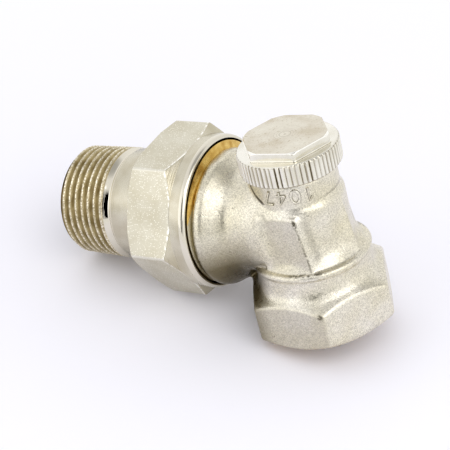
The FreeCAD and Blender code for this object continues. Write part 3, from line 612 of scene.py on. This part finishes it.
body_mesh = shaped(forging, bpy.data.meshes.new("blank"), blasted_nickel, FORGING)
for tool, operation in ((spigot, "UNION"), (neck_thread, "UNION"), (figures, "UNION"),
                        (bore, "DIFFERENCE"), (outlet_bore, "DIFFERENCE")):
    body_mesh = joined(body_mesh, tool, operation)
finish("valve_body_forging", body_mesh, "valve_body", "forged_nickel", "valve_body", sharp=50)


# The headwork inside the neck is turned from brass bar: a bonnet screwed into the neck, the
# spindle in it and the disc below, with a screwed-on washer and moulded rubber rings as seals.

# Moulded EPDM: a matt black rubber with a faint bloom.
seal_rubber, node, rubber, coords = new_material("moulded_epdm_rubber", metallic=0.0)
bloom = node(NOISE, coords, sockets={"Scale": 1 / (1.5 * MM), "Detail": 3.0})
tone = node(RAMP, bloom, stops=[(0.0, "#161616"), (1.0, "#2b2b2a")])
plug(rubber, {"Base Color": tone, "Roughness": 0.6})
for material, names in (
        (bare_brass, ("bonnet", "spindle", "disc_holder", "washer_screw")),
        (seal_rubber, ("bonnet_o_ring", "stem_o_ring_lower", "stem_o_ring_upper", "seat_washer",
                       "cap_gasket", "tail_o_ring"))):
    for name in names:
        frame["nodes"][name].data.materials.clear()
        frame["nodes"][name].data.materials.append(material)


# The cap is turned from brass bar and nickel plated: a straight-knurled skirt with a thread
# inside it, and a low hexagon on top that keeps the rings of the facing tool.

CAP_LOW, CAP_HIGH = in_mm(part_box("cap"))
SKIRT_LOW, CAP_TOP = CAP_LOW[2], CAP_HIGH[2]
FLANGE_TOP = CAP_TOP - 2.2
SKIRT_R, SKIRT_EDGE, CAP_BORE_R, ROOF = 11.55, 0.4, 7.4, 1.4
CAP_THREAD_R, CAP_THREAD_END = CAP_CREST + 0.08, FLANGE_TOP - 1.9
CAP_FLAT, CAP_FACE_R, CAP_TURN = 8.95, 9.5, 8.4
BURR, BURR_PROUD = 0.42, 0.12


def hexagon_r(flat_r, degrees, corner_at, softness):
    """Radius of a hexagon with rounded corners, in the direction of an angle."""
    off = (degrees - corner_at) % 60
    one = flat_r / math.cos(math.radians(off - 30))
    other = flat_r / math.cos(math.radians(off + 30 if off < 30 else off - 90))
    blend = max(softness - abs(one - other), 0) / softness
    return min(one, other) - blend * blend * softness / 4


def cap_profile(angle):
    """The cap's top with its dished middle, hexagon, burr and skirt, and then its inside."""
    corner_r = hexagon_r(CAP_FLAT, angle, CAP_TURN, 0.5)
    face_r = min(CAP_FACE_R, corner_r - 0.06)
    burr_r = corner_r + BURR_PROUD
    return rounded([
        (CAP_TOP - 0.05, 0, 0), (CAP_TOP - 0.03, 0.8, 0), (CAP_TOP, 2.0, 0), (CAP_TOP, 5.0, 0),
        (CAP_TOP, face_r, 0.2), (CAP_TOP - (corner_r - face_r) * TAN_30, corner_r, 0.2),
        (FLANGE_TOP + BURR, corner_r, 0), (FLANGE_TOP + BURR - 0.06, burr_r, 0),
        (FLANGE_TOP + 0.12, burr_r, 0), (FLANGE_TOP + 0.08, corner_r, 0),
        (FLANGE_TOP, corner_r, 0.05), (FLANGE_TOP, SKIRT_R - SKIRT_EDGE, 0.15),
        *run((FLANGE_TOP - SKIRT_EDGE, SKIRT_R), (SKIRT_LOW + SKIRT_EDGE, SKIRT_R), 6),
        (SKIRT_LOW, SKIRT_R - SKIRT_EDGE, 0.15), (SKIRT_LOW, CAP_CREST + 0.45, 0.1),
        *run((SKIRT_LOW + 0.35, CAP_THREAD_R), (CAP_THREAD_END, CAP_THREAD_R), 40),
        (CAP_THREAD_END + 0.35, CAP_THREAD_R, 0), (CAP_THREAD_END + 0.35, CAP_BORE_R, 0),
        (CAP_TOP - ROOF, CAP_BORE_R, 0.3), (CAP_TOP - ROOF, 0, 0)])


def knurl_flute(node, size, turns, z):
    """Straight V flutes with narrow lands, each a little deeper or shallower than the next."""
    flutes = node("MULTIPLY", turns, size["Count"])
    wave = node("PINGPONG", node("MULTIPLY", flutes, 2.0), 1.0)
    flute = node(RANGE, wave, size["Land"])
    number = node("FLOOR", node("ADD", flutes, 0.5))
    bite = node("ShaderNodeTexWhiteNoise", sockets={"W": number}, noise_dimensions="1D")
    bite = node(RANGE, bite.outputs["Value"], 0.0, 1.0, 0.3, 1.0)
    return node("MULTIPLY", flute, bite)


knurl = cutter("knurl", ("Count", "Land"), knurl_flute)

# Nickel over turned brass: a smoother, brighter grey than the forging, with fine rings left by the
# tool. The rings follow the distance along and from the axis, which are both read from the place.
turned_nickel = {}
for axis, dark, pale, ridge in (("upright", "#e2ded1", "#eeebe2", 0.03),
                                ("outlet", "#c0b8a3", "#cfc9b7", 0.04),
                                ("outlet_coarse", "#c0b8a0", "#cfc8b4", 0.16)):
    turned_nickel[axis], node, metal, coords = new_material("turned_nickel_plated_brass_" + axis)
    if axis == "upright":
        x, y, along = node(SPLIT, coords).outputs
        away = node(VECTOR, node(POINT, x, y), operation="LENGTH")
    else:
        along, _, away = round_outlet(node, coords)
    tool_path = node(POINT, along, away)
    rings = node(NOISE, tool_path, sockets={"Scale": 1 / (0.35 * MM), "Detail": 3.0})
    stains = node(NOISE, coords, sockets={"Scale": 1 / (6 * MM), "Detail": 4.0})
    specks = node(NOISE, coords, sockets={"Scale": 1 / (0.5 * MM), "Detail": 2.0})
    shade = node(RAMP, stains, stops=[(0.4, dark), (0.58, pale)])
    layers = []
    if axis == "upright":
        # Marks on the cap's top, painted highlights along its edges, and dirt and painted shade in
        # the flutes
        top, middle = (along, CAP_TOP - 0.12, CAP_TOP - 0.06), (away, 5, 1)
        for mark, amount, none, full, limits, colour in (
                (stains, 0.85, 0.3, 0.65, [top], "#c3b8a1"),
                (specks, 0.45, 0.62, 0.68, [top], "#a08d68"),
                (rings, 0.5, 0.5, 0.58, [top, middle], "#aaa08c")):
            mark = node(RANGE, mark, none, full, 0.0, amount)
            layers.append((within(node, mark, limits), colour))
        # Painted highlights: bright lines along the burr and along the top's edge
        edges = node("GREATER_THAN", away, 8.6 * MM)
        painted_highlight_lines = [node("COMPARE", along, (low + high) / 2 * MM, (high - low) / 2 * MM)
                 for low, high in ((FLANGE_TOP + 0.1, FLANGE_TOP + BURR),
                                   (CAP_TOP - 0.32, CAP_TOP - 0.04))]
        layers.append((node("MULTIPLY", node("ADD", *painted_highlight_lines), edges), "#fffdf6"))
        # Brown in the flutes, darker deeper in: partly dirt, partly painted shade
        below = node("LESS_THAN", along, (FLANGE_TOP - 0.2) * MM)
        outer = node("GREATER_THAN", away, (SKIRT_R - 0.6) * MM)
        flute = node("MULTIPLY", node("MULTIPLY", below, outer), 0.85)
        flute = within(node, flute, [(away, SKIRT_R - 0.05, SKIRT_R - 0.35)])
        layers.append((flute, "#7d6d4c"))
    for share, colour in layers:
        shade = node(MIX, share, shade, linear(colour), data_type="RGBA")
    dull = node(RANGE, stains, 0.3, 0.7, 0.16, 0.3)
    fine = node(BUMP, sockets={"Strength": 0.25, "Distance": 0.02 * MM, "Height": specks})
    bump = node(BUMP, sockets={
        "Strength": 0.6, "Distance": ridge * MM, "Height": rings, "Normal": fine})
    plug(metal, {"Base Color": shade, "Roughness": dull, "Normal": bump})

cap_mesh = spun("cap", cap_profile, [360 * k / 512 for k in range(512)])
cap_mesh = shaped(thread, cap_mesh, turned_nickel["upright"], {
    "Pitch": CAP_PITCH, "Depth": CAP_DEPTH, "Start": SKIRT_LOW + 0.4, "Stop": CAP_THREAD_END + 0.05,
    "Inner": CAP_CREST, "Outer": CAP_CREST + 0.2, "Run In": 0.4, "Run Out": 0.4})
cap_mesh = shaped(knurl, cap_mesh, turned_nickel["upright"], {
    "Count": 64, "Depth": 0.5, "Land": 0.35, "Inner": SKIRT_R - 0.1, "Outer": SKIRT_R + 0.1})
finish("cap_knurled", cap_mesh, "cap", "turned_nickel", "cap", sharp=30)


# The union tail is turned from brass bar and nickel plated. A taper pipe thread fills its outer
# end, and a shallow polished groove lies behind the thread; two ribs in its bore take a key.

TAIL_LOW, TAIL_HIGH = in_mm(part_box("union_tail"))
NOSE, TAIL_END = TAIL_LOW[0], TAIL_HIGH[0]
THREAD_LENGTH, TAPER, TAIL_CREST = 13.4, 0.36, 13.22
THREAD_START = TAIL_END - THREAD_LENGTH
TAIL_BORE_R, SHANK_R, GROOVE = 9.0, 13.1, 2.3
TAIL_COLLAR_R, TAIL_COLLAR, COLLAR_FRONT = 14.9, 2.6, SPIGOT_END + 0.4
CONE_GAP, O_RING_GROOVE = 0.3, 0.6
cone_slope = (CONE_MOUTH - CONE_ROOT) / CONE_DEPTH
cone_points = [
    (SPIGOT_END - back, CONE_MOUTH - CONE_GAP - back * cone_slope - sunk, rounding)
    for back, sunk, rounding in (
        (SPIGOT_END - NOSE, 0, 0.3), (1.9, 0, 0), (1.6, O_RING_GROOVE, 0.2),
        (0.7, O_RING_GROOVE, 0.2), (0.4, 0, 0), (0, 0, 0.2))]
groove_points = [(THREAD_START - back, radius, 0) for back, radius in (
    (GROOVE, SHANK_R), (2.0, 12.98), (1.7, 12.72), (1.45, 12.6), (1.25, 12.58), (1.1, 12.63),
    (0.25, 13.08), (0, 13.2))]
tail_points = rounded([
    (NOSE, TAIL_BORE_R, 0.3), *cone_points, (COLLAR_FRONT, CONE_MOUTH - CONE_GAP, 0.2),
    (COLLAR_FRONT, TAIL_COLLAR_R, 0.2), (COLLAR_FRONT + TAIL_COLLAR, TAIL_COLLAR_R, 0.2),
    (COLLAR_FRONT + TAIL_COLLAR, SHANK_R, 0.2), *groove_points,
    *run((THREAD_START + 0.15, TAIL_CREST), (TAIL_END - 1.0, TAIL_CREST - TAPER), 116),
    *run((TAIL_END - 0.9, TAIL_CREST - 0.45), (TAIL_END - 0.1, TAIL_CREST - 1.3), 8),
    (TAIL_END, TAIL_CREST - 1.4, 0.1), (TAIL_END, TAIL_BORE_R + 0.5, 0.15),
    (TAIL_END - 0.5, TAIL_BORE_R, 0)])

# Threaded nickel: near white along the crests, partly rubbed by handling and partly painted
# highlight, and an olive brown in the grooves, partly dried cutting oil and partly painted shade.
# The depth is the distance from the axis.
threaded_nickel, node, metal, coords = new_material("threaded_nickel_plated_brass")
along, _, away = round_outlet(node, coords)
along = node("SUBTRACT", along, THREAD_START * MM)
taper = node("MULTIPLY_ADD", along, TAPER / THREAD_LENGTH, away)
rubs = node(NOISE, coords, sockets={"Scale": 1 / (0.4 * MM), "Detail": 1.0})
rubs = node(RANGE, rubs, 0.4, 0.58, 0.2, 1.0)
# Near white along the crests: partly wear, partly painted highlight
crest_wear_and_painted_highlight = within(node, rubs, [(taper, TAIL_CREST - 0.45, TAIL_CREST - 0.05)])
stains = node(NOISE, coords, sockets={"Scale": 1 / (2.5 * MM), "Detail": 4.0})
# Olive brown in the grooves: partly dried oil, partly painted shade
oil_and_painted_shade = node(RAMP, stains, stops=[(0.35, "#998960"), (0.65, "#c0b188")])
tone = node(MIX, crest_wear_and_painted_highlight, oil_and_painted_shade, linear("#fbf4e2"), data_type="RGBA")
dull = node(RANGE, crest_wear_and_painted_highlight, 0.0, 1.0, 0.5, 0.28)
bump = node(BUMP, sockets={"Strength": 0.6, "Distance": 0.05 * MM, "Height": rubs})
plug(metal, {"Base Color": tone, "Roughness": dull, "Normal": bump})

# Burnished nickel: almost a mirror, where a form tool rubbed the metal.
burnished_nickel, node, metal, coords = new_material("burnished_nickel_plated_brass")
smear = node(NOISE, coords, sockets={"Scale": 1 / (1.5 * MM), "Detail": 3.0})
dull = node(RANGE, smear, 0.3, 0.7, 0.05, 0.12)
bump = node(BUMP, sockets={"Strength": 0.6, "Distance": 0.03 * MM, "Height": smear})
plug(metal, {"Base Color": linear("#ddd7c8"), "Roughness": dull, "Normal": bump})

tail_mesh = shaped(thread, spun("tail", tail_points, ROUND), turned_nickel["outlet"], {
    "Pitch": PIPE_PITCH, "Depth": PIPE_DEPTH, "Start": THREAD_START, "Stop": TAIL_END + 2,
    "Inner": TAIL_CREST - 1.35, "Outer": TAIL_CREST + 0.05, "Run In": 1.2, "Run Out": 0.5})
tail_mesh.materials.append(threaded_nickel)
tail_mesh.materials.append(burnished_nickel)
for face in tail_mesh.polygons:
    outside = math.hypot(face.center.x, face.center.y) > TAIL_BORE_R + 2
    if outside and THREAD_START < face.center.z < TAIL_END - 0.05:
        face.material_index = 1
    elif outside and THREAD_START - GROOVE < face.center.z < THREAD_START:
        face.material_index = 2
RIB_SIZE, RIB_R, RIB_BACK, RIB_EDGE = (2.6, 2.0, 9.0, 1), 8.5, 5.4, 0.3
ribs = bpy.data.meshes.new("ribs")
form = bmesh.new()
for side in (-1, 1):
    rib_place = Matrix.Translation((0, side * RIB_R, TAIL_END - RIB_BACK))
    bmesh.ops.create_cube(form, size=1, matrix=rib_place @ Matrix.Diagonal(RIB_SIZE))
bmesh.ops.bevel(form, geom=form.edges, offset=RIB_EDGE, segments=2, affect="EDGES")
form.to_mesh(ribs)
form.free()
ribs.materials.append(turned_nickel["outlet"])
tail_mesh = joined(tail_mesh, ribs, "UNION")
tail_mesh.transform(ALONG_OUTLET)
finish("union_tail_threaded", tail_mesh, "tail", "turned_nickel", "union_tail", sharp=35)


# The union nut is turned from hexagon bar and nickel plated. A round lip faces the body, cones cut
# its corners at both ends, and its thread draws the tail's collar against the spigot.

NUT_LOW, NUT_HIGH = in_mm(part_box("union_nut"))
NUT_FRONT, NUT_BACK = NUT_LOW[0], NUT_HIGH[0]
LIP_END, LIP_ROUND, LIP_R, MOUTH_R = NUT_FRONT + 3.8, 1.3, 17.8, 16.9
NUT_FLAT, NUT_CORNER, BACK_R, BACK_BORE_R = 17.5, 90 - 34.7, 18.0, 13.38
NUT_THREAD_R, NUT_THREAD_START, NUT_FLOOR = UNION_CREST + 0.08, NUT_FRONT + 2.9, NUT_BACK - 3.4
lip_curve = [(NUT_FRONT + LIP_ROUND * (1 - math.cos(k * math.pi / 16)),
              MOUTH_R + 0.1 + (LIP_R - MOUTH_R - 0.1) * math.sin(k * math.pi / 16), 0)
             for k in range(9)]


def nut_profile(angle):
    """The nut's lip, hexagon and back, and then its bore and thread."""
    corner_r = hexagon_r(NUT_FLAT, angle, NUT_CORNER, 0.5)
    proud = corner_r - LIP_R
    front = LIP_END + (proud * TAN_30 if proud > 0 else -proud)
    back_r = min(BACK_R, corner_r - 0.08)
    return rounded([
        (NUT_FRONT, MOUTH_R, 0.1), *lip_curve, (LIP_END, LIP_R, 0.12), (front, corner_r, 0.12),
        (NUT_BACK - (corner_r - back_r) * TAN_30, corner_r, 0.2), (NUT_BACK, back_r, 0.12),
        (NUT_BACK, BACK_BORE_R + 0.42, 0.1), (NUT_BACK - 0.4, BACK_BORE_R, 0),
        (NUT_FLOOR, BACK_BORE_R, 0), (NUT_FLOOR, NUT_THREAD_R, 0),
        *run((NUT_FLOOR - 0.5, NUT_THREAD_R), (NUT_THREAD_START, NUT_THREAD_R), 64),
        (NUT_THREAD_START - 0.3, MOUTH_R, 0)])


# Angles from a corner to the middle of a flat, closest at the corner and where the cones end
steps = [0, 0.5, 1, 1.6, 2.4, 3.6, 5, 7, 9, 11, 13, 14.4, 15.2, 16, 18, 20, 22, 24, 26, 28, 30]
sector = steps + [60 - s for s in steps[-2:0:-1]]
nut_angles = [NUT_CORNER + 60 * k + s for k in range(6) for s in sector]
nut_mesh = shaped(thread, spun("nut", nut_profile, nut_angles), turned_nickel["outlet"], {
    "Pitch": UNION_PITCH, "Depth": UNION_DEPTH, "Start": NUT_THREAD_START, "Stop": NUT_FLOOR - 0.5,
    "Inner": UNION_CREST, "Outer": UNION_CREST + 0.2, "Run In": 0.6, "Run Out": 0.6})

# Tumbled nickel: the flats keep the skin of the drawn bar, dulled and full of tiny nicks, some with
# painted glints, and their corners and front rim are bright, partly knocked and partly painted
# highlight.
tumbled_nickel, node, metal, coords = new_material("tumbled_nickel_plated_brass")
along, _, away = round_outlet(node, coords)
nicks = node(CELLS, coords, sockets={"Scale": 1 / (0.36 * MM)})
clouds = node(NOISE, coords, sockets={"Scale": 1 / (5 * MM), "Detail": 3.0})
some = node("ShaderNodeSeparateColor", nicks.outputs["Color"])
# Painted glints: bright dots in some of the nicks
painted_glints_in_nicks = node(RANGE, nicks.outputs["Distance"], 0.36, 0.18, 0.0, 0.9)
painted_glints_in_nicks = node("MULTIPLY", painted_glints_in_nicks, node("GREATER_THAN", some, 0.4))
knocks_and_painted_highlight = node(NOISE, coords, sockets={"Scale": 1 / (0.8 * MM), "Detail": 2.0})
knocks_and_painted_highlight = node(RANGE, knocks_and_painted_highlight, 0.42, 0.55)
# Bright corners and front rim: partly knocked, partly painted highlight
rim = node("MULTIPLY_ADD", away, -TAN_30, along)
rim_line = LIP_END - LIP_R * TAN_30
rim = within(node, knocks_and_painted_highlight, [(rim, rim_line + 0.75, rim_line + 0.3)])
corner = within(node, 0.35, [(away, 19.95, 20.05)])
edges = node("MAXIMUM", corner, rim)
shade = node(RAMP, clouds, stops=[(0.3, "#c5bea8"), (0.7, "#d3cebd")])
for share, colour in ((painted_glints_in_nicks, "#fbf8ee"), (edges, "#fffdf6")):
    shade = node(MIX, share, shade, linear(colour), data_type="RGBA")
bump = node(BUMP, sockets={
    "Strength": 0.5, "Distance": 0.04 * MM, "Height": nicks.outputs["Distance"]})
plug(metal, {"Base Color": shade, "Roughness": 0.3, "Normal": bump})

for material in (tumbled_nickel, burnished_nickel, oily_brass_and_painted_shade, turned_nickel["outlet_coarse"]):
    nut_mesh.materials.append(material)
for face in nut_mesh.polygons:
    away, along = math.hypot(face.center.x, face.center.y), face.center.z
    on_flat = away > NUT_FLAT - 0.2 and abs(face.normal.z) < 0.01
    if away < MOUTH_R + 0.1 and NUT_FRONT + 0.1 < along < NUT_BACK - 0.5:
        face.material_index = 3
    elif along < NUT_FRONT + LIP_ROUND:
        face.material_index = 2
    elif on_flat and LIP_END + 0.4 < along < NUT_BACK - 0.3:
        face.material_index = 1
    elif away > LIP_R and -0.95 < face.normal.z < -0.7:
        face.material_index = 4
nut_mesh.transform(ALONG_OUTLET)
finish("union_nut_hexagon", nut_mesh, "nut", "turned_nickel", "union_nut", sharp=30)


# The photograph's table: a white sheet under soft light. The valve lies on the edge of its inlet
# and on the end of its tail, so the sheet is tilted in the valve's own frame.

SHEET = 1.5
REST_INLET = Vector((FORGING["End Chamfer"], 0, 0)) * MM
REST_TAIL = Vector((TAIL_END - 0.9, 0, OUTLET_HEIGHT - TAIL_CREST)) * MM
middle = (REST_INLET + REST_TAIL) / 2
lie = (REST_TAIL - REST_INLET).normalized()
up = lie.cross(Vector((0, 1, 0))).normalized()
if up.z < 0:
    up = -up
across = up.cross(lie)
sheet = bpy.data.meshes.new("sheet")
sheet.from_pydata([middle + lie * a * SHEET + across * b * SHEET
                   for a, b in ((-1, -1), (1, -1), (1, 1), (-1, 1))], [], [(0, 1, 2, 3)])
table = bpy.data.objects.new("table_sheet", sheet)
bpy.context.scene.collection.objects.link(table)

# White paper: matt near the valve, where it takes the shadow, and plain white further out. From
# below it lets the view through.
NEAR, FAR = 0.05, 0.18
paper, node, shader, coords = new_material("white_paper", metallic=0.0)
paper.node_tree.nodes.remove(shader)
matt = node("ShaderNodeBsdfDiffuse", linear("#f8f7ff"))
white = node("ShaderNodeEmission", linear("#ffffff"), 1.0)
light_path = node("ShaderNodeLightPath").outputs
seen = node("MAXIMUM", light_path["Is Camera Ray"], light_path["Is Glossy Ray"])
seen = node("MAXIMUM", seen, light_path["Is Transmission Ray"])
gap = node(VECTOR, coords, list(middle), operation="DISTANCE")
far = node(RANGE, gap, NEAR, FAR, 0.03, 1.0, interpolation_type="SMOOTHSTEP")
shown = node("ShaderNodeMixShader", node("MULTIPLY", far, seen), matt, white)
from_below = node("ShaderNodeNewGeometry").outputs["Backfacing"]
shown = node("ShaderNodeMixShader", from_below, shown, node("ShaderNodeBsdfTransparent"))
plug(paper.node_tree.nodes["Material Output"], {"Surface": shown})
sheet.materials.append(paper)

CAMERA_PLACE = Vector((-178.83, 261.56, 196.62)) * MM
CAMERA_RIGHT = Vector((-0.83900, -0.50005, -0.21454))
CAMERA_UP = Vector((0.08480, -0.50963, 0.85620))
CAMERA_BACK = Vector((-0.53748, 0.70017, 0.46999))

# Light tent: even walls that are dimmer or brighter in places, and one dark upright gap left of
# the camera, which polished faces mirror as a streak. Each is a share that depends only on the
# direction: how much it adds, and the aims with where it starts and is full.
level = (CAMERA_RIGHT - up * CAMERA_RIGHT.dot(up)).normalized()
toward = (CAMERA_BACK - up * CAMERA_BACK.dot(up)).normalized()
world = bpy.data.worlds.new("light_tent")
bpy.context.scene.world = world
world.use_nodes = True
node = functools.partial(add, world.node_tree)
direction = node("ShaderNodeTexCoord").outputs["Generated"]
glow = 1.0
for amount, limits in (
        # roof, right wall, left wall, front over the camera, and back wall
        (-0.5, [(up * 0.9 + level * 0.2 - toward * 0.1, 0.84, 0.97)]),
        (0.2, [(level * 0.8 + toward * 0.55 - up * 0.1, 0.6, 1.0)]),
        (0.46, [(toward * 0.45 - level * 0.85 + up * 0.12, 0.62, 1.0)]),
        (-0.42, [(toward * 0.86 - level * 0.12 + up * 0.4, 0.8, 0.98)]),
        (0.1, [(up * 0.33 - level * 0.22 - toward * 0.92, 0.8, 0.97)]),
        # dark gap
        (-0.9, [(level, -0.48, -0.42), (-level, 0.26, 0.34), (toward, 0.5, 0.65),
                (up, -0.08, 0.02)])):
    share = 1.0
    for aim, none, full in limits:
        part = node(VECTOR, direction, list(aim.normalized()), operation="DOT_PRODUCT")
        part = node(RANGE, part, none, full, interpolation_type="SMOOTHSTEP")
        share = node("MULTIPLY", share, part)
    glow = node("MULTIPLY_ADD", share, amount, glow)
plug(world.node_tree.nodes["Background"], {"Color": glow})

lamp = bpy.data.lights.new("soft_box", "AREA")
lamp.shape = "SQUARE"
lamp.size = 0.7
lamp.energy = 1.58
soft_box = bpy.data.objects.new("soft_box", lamp)
bpy.context.scene.collection.objects.link(soft_box)
soft_box.location = middle + level * 0.22 + up * 0.55 + toward * 0.43
soft_box.rotation_euler = (soft_box.location - middle).to_track_quat("Z", "Y").to_euler()

lens = bpy.data.cameras.new("camera")
lens.sensor_width = 36.0
lens.lens = 129.03
lens.clip_start = 0.01
camera = bpy.data.objects.new("camera", lens)
bpy.context.scene.collection.objects.link(camera)
camera.matrix_world = Matrix.Translation(CAMERA_PLACE) @ Matrix(
    (CAMERA_RIGHT, CAMERA_UP, CAMERA_BACK)).transposed().to_4x4()
bpy.context.scene.camera = camera
bpy.context.scene.view_settings.view_transform = "Standard"
